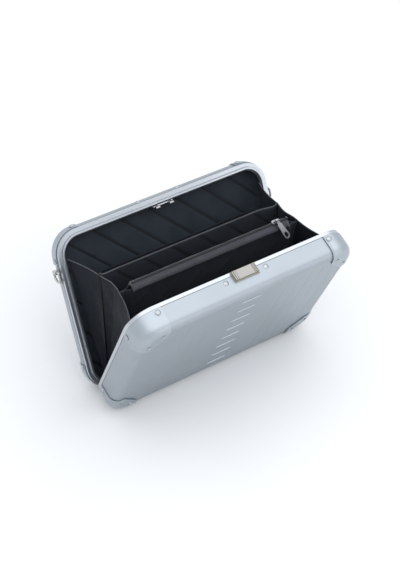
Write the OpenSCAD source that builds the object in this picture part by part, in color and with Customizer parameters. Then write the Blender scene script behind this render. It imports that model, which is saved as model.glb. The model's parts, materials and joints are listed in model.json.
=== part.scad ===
// Slim aluminium hard-shell case, standing open on its two bottom edges.
// Two pressed shells in extruded frames fold about a piano hinge along the bottom.
// A fabric bellows with two dividers spans the opening, and a slide latch shuts it.
//
// Every shell piece is drawn in shell axes: x along the hinge, y up from the hinge
// edge to the top edge, z outward from the rim plane to the shell's face.
// Every divider piece is drawn in fan axes: x along the hinge, y towards the back
// shell, z outward from the hinge line.

/* [Case] */
// Width along the hinge
case_w = 240; // [225:1:280]
// Height from the hinge edge to the top edge
case_h = 162; // [158:1:190]
// Depth of the front shell
front_d = 26; // [25:0.5:36]
// Depth of the back shell
back_d = 19; // [18:0.5:30]
// Radius of the rim's corners
corner_r = 24; // [22:1:28]
// Radius of the fold between walls and face
fold_r = 9; // [8.5:0.1:9.5]
// Thickness of the shell sheet
sheet_t = 1; // [0.8:0.1:1.1]
// Angle between the two rims when the bellows is taut
open_angle = 47.6; // [40:0.1:56]

/* [Frame] */
// Width of the frame's outer band
band_w = 3.7; // [3:0.1:3.8]
// Width of the frame's end face
flange_w = 7.2; // [7:0.1:7.4]
// Clearance between the rim plane and each frame
rim_gap = 0.15; // [0.1:0.05:0.2]
// Height of the back frame's raised lip
lip_h = 1.4; // [0.8:0.1:1.6]
// Depth of the leg behind the shell wall
leg_d = 11; // [10.5:0.1:11]

/* [Corner guards] */
// Thickness of the pressed guards
guard_t = 1.4; // [1:0.1:1.6]
// Reach of a guard along each wall
guard_reach = 29; // [27:1:32]
// Length of the guard's square end beside its slanted face edge
guard_end = 13; // [11:1:16]
// Distance of the guard rivets from the corner's outer walls
guard_rivet = 24.5; // [24:0.5:25.5]

/* [Hinge] */
// Length of the piano hinge
hinge_len = 176; // [140:1:176]
// Number of knuckles
knuckles = 11; // [7:2:15]
// Radius of the knuckles
knuckle_r = 2; // [1.8:0.1:2.1]
// Radius of the hinge pin
pin_r = 1; // [0.8:0.1:1.1]
// Thickness of the hinge leaves
leaf_t = 0.8; // [0.6:0.1:0.9]

/* [Latch] */
// Half width of the latch block
latch_half = 12.8; // [12:0.1:14]
// Height of the latch block above the wall
latch_h = 3.2; // [2.8:0.1:3.6]
// Distance of each latch rivet from the middle
latch_rivet = 22.3; // [20:0.1:24]
// Travel of the latch
latch_travel = 2.5; // [2.2:0.1:2.6]
// Distance of each hook from the middle
hook_u = 7.8; // [7.6:0.1:9.5]

/* [Bellows] */
// Share of the opening angle between the back rim and the divider
divider_share = 0.40; // [0.35:0.01:0.42]
// Share of the opening angle between the back rim and the zipped pocket
pocket_share = 0.64; // [0.62:0.01:0.68]
// Distance from the hinge line to the divider's top edge
divider_top = 131; // [125:1:136]
// Distance from the hinge line to the top of the pocket walls
pocket_top = 136; // [133:1:141]
// Half width of the divider and the pocket
divider_half = 99.5; // [95:0.5:100]
// Position of the zip slider along the zip
slider_x = 74; // [60:1:80]

/* [Strap rings] */
// Height of the ring's bar above the hinge edge
ring_v = 126.5; // [120:0.5:126.5]
// Inner half width of the ring
ring_half = 4.2; // [4.1:0.1:4.4]
// Thickness of the ring's wire
ring_wire = 2.4; // [2:0.1:2.4]

/* [Hidden] */
$fn = 48;

// Leans that put both bottom folds on the floor at the same time
lean_front = atan(
  (fold_r * (1 - cos(open_angle)) + (back_d - fold_r) * sin(open_angle))
  / (front_d - fold_r + fold_r * sin(open_angle) + (back_d - fold_r) * cos(open_angle))
);
lean_back = open_angle - lean_front;

// Place of the hinge line, with the origin on the floor under the middle
guard_r = fold_r + guard_t;
reach_front = (case_h - fold_r) * sin(lean_front) + (front_d - fold_r) * cos(lean_front) + guard_r;
reach_back = (case_h - fold_r) * sin(lean_back) + (back_d - fold_r) * cos(lean_back) + guard_r;
hinge_y = (reach_front - reach_back) / 2;
hinge_z = guard_r - fold_r * cos(lean_front) + (front_d - fold_r) * sin(lean_front);

// Seams, rivets and linings
seam = 0.4;
shell_edge = band_w + seam;
rivet_w = 8.2;
rivet_head_r = 2.8;
rivet_head_h = 1.2;
shank_r = 1.3;
hole_r = shank_r + 0.05;
tail_r = 1.9;
tail_h = 0.8;
leg_in = sheet_t + 0.1;
leg_out = 2.2;
lining_in = 4;
lining_t = 0.8;

// Pressed pattern on the faces
bar_count = 8;
bar_pitch = 17.9;
bar_len = 23.4;
bar_r = 0.6;
flute_count = 6;
flute_first = 41;
flute_pitch = 13.6;
flute_r = 10;
flute_depth = 0.2;
flute_end = 13;

// Hinge
channel_r = knuckle_r + 0.3;
pitch = hinge_len / knuckles;
knuckle_gap = 0.2;
leaf_start = knuckle_r + 0.6;
leaf_end = 11;
hinge_rivet_w = 7.4;
hinge_rivet_us = [for (k = [-2.5:1:2.5]) k * hinge_len / 6];

// Latch and catch
latch_base_t = 1;
stem_half = 3;
stem_w0 = 4.6;
stem_w1 = 7;
bar_n0 = flange_w + 0.2;
bar_n1 = bar_n0 + 1.4;
bar_w0 = 2;
tooth_w = 3.6;
hook_gap = 0.6;
hook_reach = 5.6;
hook_half = 1.1;
barb = 2.1;
barb_w = 1.6;
catch_half = 11;
catch_t = 0.8;

// Fan angles from the vertical, positive towards the back shell
divider_angle = lean_back - divider_share * open_angle;
pocket_angle = lean_back - pocket_share * open_angle;
fan_start = 11;
divider_y = [1.8, 3.4];
pocket_y = [-6.4, -0.4];
pocket_mid = -3.4;
cloth = 0.6;
panel_h = 97;
gusset_foot = 105;
gusset_top = 132;
valley = [102, 97];
roof_top = pocket_top + 3.1;
roof_edge = pocket_top - 0.5;
roof_half = 5;
roof_flat = 1;
roof_t = 0.7;
coil_h = 1.4;
coil_half = 1;
zip_half = 86;
bail_r = 0.7;
bail_y = pocket_mid - 1.2;
bail_z = pocket_top + 8.5;
slider_half = 2.4;
slider_top = pocket_top + 6.6;
slider_chamfer = 0.7;
eye_r = 1.45;
pull_angle = 39;
pull_skew = 20;
pull_len = 22;
pull_w = 6.4;

// Strap lugs
lug_w = 7.2;
lug_t = 0.8;
lug_half = 2.65;
lug_v0 = ring_v - 13.7;
lug_v1 = ring_v + 6.2;
ring_n = 3;
ring_bore = ring_wire / 2 + 0.05;
ring_leg = 4.5;
ring_r = ring_half + ring_wire / 2;
lug_rivet_vs = [ring_v - 11.2, ring_v + 4.2];

// ---- placing ----

module in_back() {
  translate([0, hinge_y, hinge_z]) rotate([90 - lean_back, 0, 0]) mirror([0, 0, 1]) children();
}

module in_front() {
  translate([0, hinge_y, hinge_z]) rotate([90 + lean_front, 0, 0]) children();
}

module in_fan(angle) {
  translate([0, hinge_y, hinge_z]) rotate([-angle, 0, 0]) children();
}

// Sweeps a profile round the rim: x is the distance outward from a corner's centre
module around_rim() {
  for (k = [0:3]) {
    side = k == 0 || k == 3 ? 1 : -1;
    up = k < 2 ? case_h - corner_r : corner_r;
    run = k % 2 == 0 ? case_h - 2 * corner_r : case_w - 2 * corner_r;
    translate([side * (case_w / 2 - corner_r), up, 0]) rotate([0, 0, 90 * k]) {
      rotate_extrude(angle = 90) children();
      rotate([90, 0, 0]) linear_extrude(run) children();
    }
  }
}

// Places children in one corner: x and y then run inward from the outer walls
module at_corner(left, top) {
  translate([left ? -case_w / 2 : case_w / 2, top ? case_h : 0, 0])
    mirror([left ? 0 : 1, 0, 0]) mirror([0, top ? 1 : 0, 0]) children();
}

// Children on a wall: z runs inward from the wall's outer surface
module on_top(u, w) translate([u, case_h, w]) rotate([90, 0, 0]) children();
module on_bottom(u, w) translate([u, 0, w]) rotate([-90, 0, 0]) children();
module on_side(side, v, w) translate([side * case_w / 2, v, w]) rotate([0, -90 * side, 0]) children();

// ---- shared shapes ----

// Band between two offsets inward from the outer surface, from depth w0 to the face
module skin_profile(n0, n1, w0, depth) {
  translate([corner_r - n1, w0]) square([n1 - n0, depth - fold_r - w0]);
  translate([corner_r - fold_r, depth - fold_r]) intersection() {
    difference() {
      circle(fold_r - n0);
      circle(fold_r - n1);
    }
    square(fold_r + 3);
  }
  translate([0, depth - n1]) square([corner_r - fold_r, n1 - n0]);
}

module tray(n0, n1, w0, depth) {
  around_rim() skin_profile(n0, n1, w0, depth);
  translate([-case_w / 2 + corner_r, corner_r, depth - n1])
    cube([case_w - 2 * corner_r, case_h - 2 * corner_r, n1 - n0]);
}

// Rivet through a stack: head outside at height lift, tail behind the frame's leg
module rivet(lift, head_r = rivet_head_r, head_h = rivet_head_h, stack = leg_out) {
  ball_r = (head_r * head_r + head_h * head_h) / (2 * head_h);
  intersection() {
    translate([0, 0, ball_r - head_h - lift]) sphere(ball_r);
    translate([0, 0, -lift - head_h - 1]) cylinder(h = head_h + 1, r = head_r + 1);
  }
  translate([0, 0, -lift]) cylinder(h = lift + stack + tail_h, r = shank_r);
  translate([0, 0, stack + 0.05]) cylinder(h = tail_h - 0.05, r = tail_r);
}

module hole() translate([0, 0, -5]) cylinder(h = 9, r = hole_r);

module at_guard_rivets() {
  for (side = [-1, 1]) {
    on_top(side * (case_w / 2 - guard_rivet), rivet_w) children();
    on_bottom(side * (case_w / 2 - guard_rivet), rivet_w) children();
    on_side(side, case_h - guard_rivet - 1.5, rivet_w) children();
    on_side(side, guard_rivet + 1.5, rivet_w) children();
  }
}

module at_hinge_rivets() for (u = hinge_rivet_us) on_bottom(u, hinge_rivet_w) children();
module at_latch_rivets() for (side = [-1, 1]) on_top(side * latch_rivet, rivet_w) children();
module at_lug_rivets(side) for (v = lug_rivet_vs) on_side(side, v, lug_w) children();

module hinge_channel() {
  rotate([0, 90, 0]) cylinder(h = hinge_len + 4, r = channel_r, center = true);
}

// ---- shells ----

module flutes(depth) {
  for (side = [-1, 1], k = [0:flute_count - 1])
    translate([side * (flute_first + k * flute_pitch), flute_end, depth + flute_r - flute_depth])
      rotate([-90, 0, 0]) cylinder(h = case_h - 2 * flute_end, r = flute_r);
}

module bars(depth) {
  for (k = [0:bar_count - 1])
    translate([0, case_h / 2 + 3 + (k - (bar_count - 1) / 2) * bar_pitch, depth]) {
      rotate([0, 90, 0]) cylinder(h = bar_len - 2 * bar_r, r = bar_r, center = true);
      for (side = [-1, 1]) translate([side * (bar_len / 2 - bar_r), 0, 0]) sphere(bar_r);
    }
}

module latch_slot(w0) {
  translate([-stem_half - 0.4, case_h - 6, w0])
    cube([2 * stem_half + latch_travel + 0.8, 8, stem_w1 + 0.3 - w0]);
}

module back_shell() color("lightsteelblue") in_back() difference() {
  tray(0, sheet_t, shell_edge, back_d);
  flutes(back_d);
  at_guard_rivets() hole();
  at_hinge_rivets() hole();
  at_latch_rivets() hole();
  for (side = [-1, 1]) at_lug_rivets(side) hole();
}

module front_shell() color("lightsteelblue") in_front() difference() {
  union() {
    tray(0, sheet_t, shell_edge, front_d);
    bars(front_d);
  }
  flutes(front_d);
  at_guard_rivets() hole();
  at_hinge_rivets() hole();
  at_latch_rivets() hole();
  latch_slot(shell_edge - 1);
}

// ---- frames ----

// Points are (distance inward from the outer wall, depth from the rim plane)
module frame_section(points) {
  translate([corner_r, 0]) mirror([1, 0]) polygon(points);
}

module back_frame() color("silver") in_back() difference() {
  around_rim() frame_section([
    [0, rim_gap], [3.2, rim_gap], [3.2, 0.9], [3.9, 0.9], [3.9, -lip_h], [5.6, -lip_h],
    [5.6, 0.5], [flange_w, 0.5], [flange_w, 2.2], [leg_out, 2.2], [leg_out, leg_d],
    [leg_in, leg_d], [leg_in, band_w], [0, band_w]
  ]);
  hinge_channel();
  at_guard_rivets() hole();
  at_hinge_rivets() hole();
  at_latch_rivets() hole();
  for (side = [-1, 1]) at_lug_rivets(side) hole();
}

module front_frame() color("silver") in_front() difference() {
  around_rim() frame_section([
    [0, rim_gap], [3.4, rim_gap], [3.4, 1.9], [flange_w, 1.9], [flange_w, 3.2],
    [leg_out, 3.2], [leg_out, leg_d], [leg_in, leg_d], [leg_in, band_w], [0, band_w]
  ]);
  hinge_channel();
  at_guard_rivets() hole();
  at_hinge_rivets() hole();
  at_latch_rivets() hole();
  latch_slot(stem_w0 - 0.3);
}

module back_gasket() color("dimgray") in_back() around_rim()
  frame_section([[5.65, -0.4], [6.2, -0.7], [7.1, 0], [7.1, 0.5], [5.65, 0.5]]);

// ---- corner guards ----

module guard(left, top, depth) {
  color("gainsboro") at_corner(left, top) difference() {
    intersection() {
      translate([corner_r, corner_r, 0]) {
        rotate([0, 0, 180]) rotate_extrude(angle = 90) guard_profile(depth);
        rotate([0, 0, 180]) rotate([90, 0, 0]) linear_extrude(guard_reach - corner_r)
          guard_profile(depth);
        rotate([0, 0, 270]) mirror([0, 1, 0]) rotate([90, 0, 0])
          linear_extrude(guard_reach - corner_r) guard_profile(depth);
      }
      linear_extrude(depth + 5) polygon([
        [-5, -5], [guard_reach, -5], [guard_reach, guard_end],
        [guard_end, guard_reach], [-5, guard_reach]
      ]);
    }
    translate([guard_rivet, 0, rivet_w]) rotate([-90, 0, 0]) hole();
    translate([0, guard_rivet + 1.5, rivet_w]) rotate([0, 90, 0]) hole();
    for (p = [[11, 23], [23, 11]]) translate([p[0], p[1], depth + guard_t + 3.2]) sphere(4);
  }
}

module guard_profile(depth) skin_profile(-guard_t, 0, shell_edge - 0.2, depth);

module guard_back_top_left() in_back() guard(true, true, back_d);
module guard_back_top_right() in_back() guard(false, true, back_d);
module guard_back_bottom_left() in_back() guard(true, false, back_d);
module guard_back_bottom_right() in_back() guard(false, false, back_d);
module guard_front_top_left() in_front() guard(true, true, front_d);
module guard_front_top_right() in_front() guard(false, true, front_d);
module guard_front_bottom_left() in_front() guard(true, false, front_d);
module guard_front_bottom_right() in_front() guard(false, false, front_d);

// ---- hinge ----

module leaf(first) {
  difference() {
    union() {
      translate([-hinge_len / 2, -leaf_t, leaf_start])
        cube([hinge_len, leaf_t, leaf_end - leaf_start]);
      for (k = [first:2:knuckles - 1])
        translate([-hinge_len / 2 + k * pitch + knuckle_gap / 2, 0, 0]) {
          translate([0, -leaf_t, 0]) cube([pitch - knuckle_gap, leaf_t, leaf_start]);
          rotate([0, 90, 0]) cylinder(h = pitch - knuckle_gap, r = knuckle_r);
        }
    }
    rotate([0, 90, 0]) cylinder(h = hinge_len + 2, r = pin_r + 0.05, center = true);
    at_hinge_rivets() hole();
  }
}

module hinge_leaf_back() color("silver") in_back() leaf(0);
module hinge_leaf_front() color("silver") in_front() leaf(1);

module hinge_pin() color("gray") in_back() rotate([0, 90, 0]) {
  cylinder(h = hinge_len + 0.2, r = pin_r, center = true);
  for (side = [-1, 1]) translate([0, 0, side * (hinge_len / 2 + 0.5)])
    cylinder(h = 0.8, r = pin_r + 0.6, center = true);
}

module hinge_rivets_back() color("whitesmoke") in_back() at_hinge_rivets() rivet(leaf_t, 2.2, 0.9);
module hinge_rivets_front() color("whitesmoke") in_front() at_hinge_rivets() rivet(leaf_t, 2.2, 0.9);
module back_guard_rivets() color("whitesmoke") in_back() at_guard_rivets() rivet(guard_t);
module front_guard_rivets() color("whitesmoke") in_front() at_guard_rivets() rivet(guard_t);

// ---- latch ----

module latch_base() color("tan") in_front() difference() {
  translate([-latch_half - 0.8, case_h, 0.5]) cube([2 * latch_half + 1.6, latch_base_t, 10.9]);
  latch_slot(stem_w0 - 0.3);
}

module latch_slider() color("wheat") in_front() {
  difference() {
    translate([-latch_half, case_h + latch_base_t + 0.05, 0.9])
      cube([2 * latch_half, latch_h - latch_base_t, 9.5]);
    translate([-8, case_h + latch_h - 0.5, 0]) cube([16, 2, 12]);
    for (side = [-1, 1], k = [0:2])
      translate([side * (9.2 + 1.3 * k), case_h + latch_h + 0.2, 0]) cylinder(h = 12, r = 0.4, $fn = 24);
  }
  translate([-stem_half, case_h - bar_n0, stem_w0])
    cube([2 * stem_half, bar_n0 + latch_base_t + 0.1, stem_w1 - stem_w0]);
}

// Each hook enters through a narrow window; the barb then sits in the wider one behind
module latch_bar() color("gray") in_front() difference() {
  translate([-hook_u - 8, case_h - bar_n1, bar_w0])
    cube([2 * hook_u + 12, bar_n1 - bar_n0, stem_w1 + 0.6 - bar_w0]);
  for (u = [-hook_u, hook_u]) {
    translate([u - hook_half - barb - hook_gap, case_h - bar_n1 - 1, bar_w0 - 1])
      cube([2 * hook_half + barb + 2 * hook_gap, 4, 3]);
    translate([u - hook_half - barb - hook_gap - latch_travel, case_h - bar_n1 - 1, tooth_w])
      cube([2 * hook_half + barb + 2 * hook_gap + latch_travel, 4, hook_reach + 0.6 - tooth_w]);
  }
}

module catch_plate() color("silver") in_back() {
  hook_t = bar_n1 - bar_n0 - 0.2;
  translate([0, case_h - bar_n1 + 0.1, 0]) {
    translate([-catch_half, 0, 0.4]) cube([2 * catch_half, hook_t, 6]);
    for (u = [-hook_u, hook_u]) translate([u - hook_half, 0, -hook_reach]) {
      cube([2 * hook_half, hook_t, hook_reach + 1]);
      translate([-barb, 0, 0]) cube([barb + 0.2, hook_t, barb_w]);
    }
  }
  translate([-catch_half, case_h - bar_n1 + 0.1, 2.25]) cube([2 * catch_half, bar_n1 - leg_out - 0.2, catch_t]);
  difference() {
    translate([-latch_rivet - 3, case_h - leg_out - 0.05 - catch_t, 2.25])
      cube([2 * latch_rivet + 6, catch_t, leg_d - 2.35]);
    at_latch_rivets() hole();
  }
}

module catch_rivets() color("whitesmoke") in_back()
  at_latch_rivets() rivet(0, rivet_head_r, rivet_head_h, leg_out + 0.05 + catch_t);

module latch_rivets() color("whitesmoke") in_front() at_latch_rivets() rivet(0);

// ---- strap lugs and rings ----

// Lug axes: x outward from the wall, y up, z depth
module lug_axes(side) {
  translate([side * case_w / 2, 0, 0]) mirror([side < 0 ? 1 : 0, 0, 0]) children();
}

module strap_lug(side) color("darkgray") in_back() difference() {
  lug_axes(side) {
    translate([0, lug_v0 + lug_half, lug_w - lug_half])
      cube([lug_t, lug_v1 - lug_v0 - 2 * lug_half, 2 * lug_half]);
    for (v = [lug_v0 + lug_half, lug_v1 - lug_half])
      translate([0, v, lug_w]) rotate([0, 90, 0]) cylinder(h = lug_t, r = lug_half);
    translate([0, ring_v - 1.6, lug_w - 2.1]) cube([ring_n, 3.2, 4.2]);
    translate([ring_n, ring_v, lug_w]) cylinder(h = 4.2, r = 2.2, center = true);
  }
  lug_axes(side) translate([ring_n, ring_v, lug_w]) cylinder(h = 12, r = ring_bore, center = true);
  at_lug_rivets(side) hole();
}

module strap_lug_left() strap_lug(-1);
module strap_lug_right() strap_lug(1);
module lug_rivets() color("whitesmoke") in_back()
  for (side = [-1, 1]) at_lug_rivets(side) rivet(lug_t, 1.5, 0.8);

module strap_ring(side) color("silver") in_back() lug_axes(side)
  translate([ring_n, ring_v, lug_w]) {
    cylinder(h = 2 * ring_r, r = ring_wire / 2, center = true);
    for (end = [-1, 1]) translate([0, 0, end * ring_r]) {
      sphere(ring_wire / 2);
      rotate([90, 0, 0]) cylinder(h = ring_leg, r = ring_wire / 2);
    }
    translate([0, -ring_leg, 0]) rotate([0, 90, 0]) rotate([0, 0, 180])
      rotate_extrude(angle = 180) translate([ring_r, 0]) circle(ring_wire / 2);
  }

module strap_ring_left() strap_ring(-1);
module strap_ring_right() strap_ring(1);

// ---- linings ----

module back_lining() color("midnightblue") in_back() difference() {
  tray(lining_in, lining_in + lining_t, 2.25, back_d);
  translate([-catch_half - 0.5, case_h - 10, 0]) cube([2 * catch_half + 1, 20, 2.5 + catch_t]);
}

module front_lining() color("midnightblue") in_front() difference() {
  tray(lining_in, lining_in + lining_t, 3.25, front_d);
  latch_slot(3);
}

module lining_panel(depth) {
  translate([-divider_half, 12, depth - lining_in - lining_t - 1.3]) cube([2 * divider_half, panel_h, 1.2]);
}

module bellows_back_panel() color("darkslategray") in_back() lining_panel(back_d);
module bellows_front_panel() color("darkslategray") in_front() lining_panel(front_d);

module bellows_floor() color("black") translate([0, hinge_y, hinge_z])
  rotate([0, -90, 0]) rotate([0, 0, -lean_back + 8])
    translate([0, 0, -divider_half]) linear_extrude(2 * divider_half) difference() {
      intersection() {
        circle(9.6);
        polygon([[0, 0], [20, 0], [20, 20 * tan(open_angle - 16)]]);
      }
      circle(9.1);
    }

// ---- bellows sides ----

// One pleat between two fan angles: each edge is (x at the foot, x at the top, top radius, angle)
function fan_point(x, r, a) = [x, hinge_y + r * sin(a), hinge_z + r * cos(a)];

module pleat(side, a0, a1, x0, x1) {
  mid = (a0 + a1) / 2;
  edges = [[gusset_foot, x0, gusset_top, a0], [valley[0], valley[1], gusset_top - 5, mid],
    [gusset_foot, x1, gusset_top, a1]];
  points = [
    for (e = edges, t = [0, cloth]) each [
      fan_point(side * (e[0] - t), fan_start, e[3]),
      fan_point(side * (e[1] - t), e[2], e[3])
    ]
  ];
  faces = concat(
    [for (k = [0, 4]) each [
      [k, k + 4, k + 5], [k, k + 5, k + 1],
      [k + 2, k + 3, k + 7], [k + 2, k + 7, k + 6],
      [k, k + 2, k + 6], [k, k + 6, k + 4],
      [k + 1, k + 5, k + 7], [k + 1, k + 7, k + 3]
    ]],
    [[0, 1, 3], [0, 3, 2], [8, 10, 11], [8, 11, 9]]
  );
  polyhedron(points, side > 0 ? faces : [for (f = faces) [f[2], f[1], f[0]]]);
}

module gusset(side) color("black") {
  pleat(side, lean_back, divider_angle, 112, 106);
  pleat(side, divider_angle, pocket_angle, 106, 106);
  pleat(side, pocket_angle, -lean_front, 106, 112);
}

module gusset_left() gusset(-1);
module gusset_right() gusset(1);

// ---- divider and pocket ----

module divider_panel() color("darkslategray") in_fan(divider_angle) {
  translate([-divider_half, divider_y[0], fan_start])
    cube([2 * divider_half, divider_y[1] - divider_y[0], divider_top - fan_start]);
  for (side = [-1, 1]) translate([side * divider_half, divider_y[1], 0]) rotate([90, 0, 0])
    linear_extrude(divider_y[1] - divider_y[0])
      polygon([[0, divider_top - 9], [side * 3, divider_top - 4], [side * 3, divider_top], [0, divider_top]]);
}

module divider_piping() color("dimgray") in_fan(divider_angle)
  translate([0, (divider_y[0] + divider_y[1]) / 2, divider_top]) {
    translate([-divider_half, -1.2, 0]) cube([2 * divider_half, 2.4, 0.8]);
    translate([0, 0, 0.8]) intersection() {
      rotate([0, 90, 0]) cylinder(h = 2 * divider_half, r = 1.2, center = true);
      translate([-case_w, -2, 0]) cube([2 * case_w, 4, 4]);
    }
  }

module pocket_wall(y) {
  translate([-divider_half, y, fan_start + 1]) cube([2 * divider_half, cloth, pocket_top - fan_start - 1]);
}

module pocket_back_wall() color("darkslategray") in_fan(pocket_angle) pocket_wall(pocket_y[1] - cloth);
module pocket_front_wall() color("darkslategray") in_fan(pocket_angle) pocket_wall(pocket_y[0]);

module pocket_bottom_binding() color("black") in_fan(pocket_angle)
  translate([-divider_half, pocket_y[0], fan_start - 1])
    cube([2 * divider_half, pocket_y[1] - pocket_y[0], 2]);

module zip_tape() color("dimgray") in_fan(pocket_angle) translate([-zip_half - 3, pocket_mid, 0])
  rotate([90, 0, 90]) linear_extrude(2 * zip_half + 6) polygon([
    [-roof_half, roof_edge], [-roof_flat, roof_top], [roof_flat, roof_top], [roof_half, roof_edge],
    [roof_half, roof_edge + roof_t], [roof_flat, roof_top + roof_t],
    [-roof_flat, roof_top + roof_t], [-roof_half, roof_edge + roof_t]
  ]);

module zip_coil() color("black") in_fan(pocket_angle)
  translate([-zip_half, pocket_mid - coil_half, roof_top + roof_t]) cube([2 * zip_half, 2 * coil_half, coil_h]);

module zip_stops() color("gray") in_fan(pocket_angle) for (side = [-1, 1])
  translate([side * (zip_half + 1), pocket_mid, roof_top + roof_t])
    translate([-0.9, -1.4, 0]) cube([1.8, 2.8, 1.8]);

module zip_slider() color("silver") in_fan(pocket_angle) translate([slider_x, 0, 0]) {
  difference() {
    translate([-4.5, pocket_mid, 0]) rotate([90, 0, 90]) linear_extrude(9) polygon([
      [-slider_half, roof_top + roof_t], [slider_half, roof_top + roof_t],
      [slider_half, slider_top - slider_chamfer], [slider_half - slider_chamfer, slider_top],
      [slider_chamfer - slider_half, slider_top], [-slider_half, slider_top - slider_chamfer]
    ]);
    translate([-5, pocket_mid - 1.4, roof_top]) cube([10, 2.8, coil_h + 1.1]);
    for (side = [-1, 1]) translate([-5, pocket_mid + side * 2.2 - 1, roof_top]) cube([10, 2, 1]);
  }
  translate([0, bail_y, bail_z]) rotate([0, 90, 0]) cylinder(h = 6, r = bail_r, center = true);
  for (side = [-1, 1]) translate([side * 3 - 0.7, bail_y - bail_r, slider_top - 0.5])
    cube([1.4, 2 * bail_r, bail_z + bail_r - slider_top + 0.5]);
}

module zip_pull() color("silver") in_fan(pocket_angle)
  translate([slider_x, bail_y, bail_z]) rotate([-pull_angle, 0, 0]) difference() {
    union() {
      rotate([0, 90, 0]) cylinder(h = 3.6, r = eye_r, center = true);
      rotate([0, -pull_skew, 0]) {
        translate([-1.5, -0.5, -5.6]) cube([3, 1, 5.6]);
        translate([0, 0.5, 0]) rotate([90, 0, 0]) linear_extrude(1) {
          translate([-pull_w / 2, -pull_len + 2]) square([pull_w, pull_len - 7.6]);
          translate([-pull_w / 2 + 2, -pull_len]) square([pull_w - 4, pull_len - 3.6]);
          for (x = [-1, 1], y = [-pull_len + 2, -5.6]) translate([x * (pull_w / 2 - 2), y]) circle(2);
        }
      }
    }
    rotate([0, 90, 0]) cylinder(h = 10, r = bail_r + 0.07, center = true);
    rotate([0, -pull_skew, 0]) {
      for (z = [-18.5, -15.5]) translate([0, 0, z]) rotate([90, 0, 0])
        cylinder(h = 4, r = 1.6, center = true);
      translate([-1.6, -2, -18.5]) cube([3.2, 4, 3]);
    }
  }

back_shell();
back_frame();
back_gasket();
back_lining();
guard_back_top_left();
guard_back_top_right();
guard_back_bottom_left();
guard_back_bottom_right();
back_guard_rivets();
hinge_leaf_back();
hinge_pin();
hinge_rivets_back();
catch_plate();
catch_rivets();
strap_lug_left();
strap_lug_right();
lug_rivets();
bellows_back_panel();
bellows_floor();
gusset_left();
gusset_right();
front_shell();
front_frame();
front_lining();
guard_front_top_left();
guard_front_top_right();
guard_front_bottom_left();
guard_front_bottom_right();
front_guard_rivets();
hinge_leaf_front();
hinge_rivets_front();
latch_base();
latch_rivets();
bellows_front_panel();
latch_slider();
latch_bar();
strap_ring_left();
strap_ring_right();
divider_panel();
divider_piping();
pocket_back_wall();
pocket_front_wall();
pocket_bottom_binding();
zip_tape();
zip_coil();
zip_stops();
zip_slider();
zip_pull();
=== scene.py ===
"""Looks of a slim aluminium case that stands open on its two bottom folds.

Lengths below are in millimetres unless a name ends in _m. Shell pieces are drawn in
shell axes: u along the hinge, v up from the hinge edge, w from the rim plane out to the
shell's face. Divider pieces are drawn in fan axes: x along the hinge, y towards the back
shell, z outward from the hinge line. back(), front() and fan() turn both into the frame.
"""

import json
import math

import bmesh
import bpy
from mathutils import Matrix, Vector, noise


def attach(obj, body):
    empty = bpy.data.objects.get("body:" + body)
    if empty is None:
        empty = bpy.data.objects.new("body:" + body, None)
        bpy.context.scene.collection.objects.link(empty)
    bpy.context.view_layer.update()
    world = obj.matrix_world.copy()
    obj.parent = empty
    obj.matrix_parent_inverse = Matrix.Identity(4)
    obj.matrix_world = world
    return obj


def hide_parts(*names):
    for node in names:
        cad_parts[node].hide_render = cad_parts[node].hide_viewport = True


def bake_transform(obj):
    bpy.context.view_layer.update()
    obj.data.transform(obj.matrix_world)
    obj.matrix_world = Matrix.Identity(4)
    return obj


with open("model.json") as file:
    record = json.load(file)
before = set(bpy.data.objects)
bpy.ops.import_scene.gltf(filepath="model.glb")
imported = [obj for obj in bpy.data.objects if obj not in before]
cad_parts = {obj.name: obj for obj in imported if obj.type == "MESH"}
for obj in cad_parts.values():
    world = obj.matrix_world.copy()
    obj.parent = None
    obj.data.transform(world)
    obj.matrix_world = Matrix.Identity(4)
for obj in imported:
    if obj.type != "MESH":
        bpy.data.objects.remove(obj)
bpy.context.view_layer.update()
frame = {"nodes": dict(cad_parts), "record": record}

# ---- the case's own measures ----

MM = 0.001
JOINTS = {joint["name"]: joint for joint in frame["record"]["behaviour"]["joints"]}
MOUNTS = {mount["name"]: mount for mount in frame["record"]["mounts"]}
HINGE = Vector(JOINTS["lid_hinge"]["pos_m"])
OPEN_ANGLE = math.radians(JOINTS["lid_hinge"]["range_deg"][1])
back_normal = MOUNTS["back_pad_top_left"]["axis"]
LEAN_BACK = math.atan2(-back_normal[2], back_normal[1])
LEAN_FRONT = OPEN_ANGLE - LEAN_BACK
DIVIDER_SHARE, POCKET_SHARE = 0.40, 0.64  # of the lid's turn
DIVIDER_ANGLE = LEAN_BACK - DIVIDER_SHARE * OPEN_ANGLE
POCKET_ANGLE = LEAN_BACK - POCKET_SHARE * OPEN_ANGLE

CASE_W, CASE_H = 240, 162
FRONT_D, BACK_D = 26, 19
CORNER_R, FOLD_R = 24, 9


def back(u, v, w):
    y = v * math.sin(LEAN_BACK) + w * math.cos(LEAN_BACK)
    z = v * math.cos(LEAN_BACK) - w * math.sin(LEAN_BACK)
    return HINGE + Vector((u, y, z)) * MM


def front(u, v, w):
    y = v * math.sin(LEAN_FRONT) + w * math.cos(LEAN_FRONT)
    z = v * math.cos(LEAN_FRONT) - w * math.sin(LEAN_FRONT)
    return HINGE + Vector((u, -y, z)) * MM


def fan(angle):
    def place(x, y, z):
        forward = y * math.cos(angle) + z * math.sin(angle)
        upward = z * math.cos(angle) - y * math.sin(angle)
        return HINGE + Vector((x, forward, upward)) * MM

    return place


# ---- camera, light and floor ----


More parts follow.
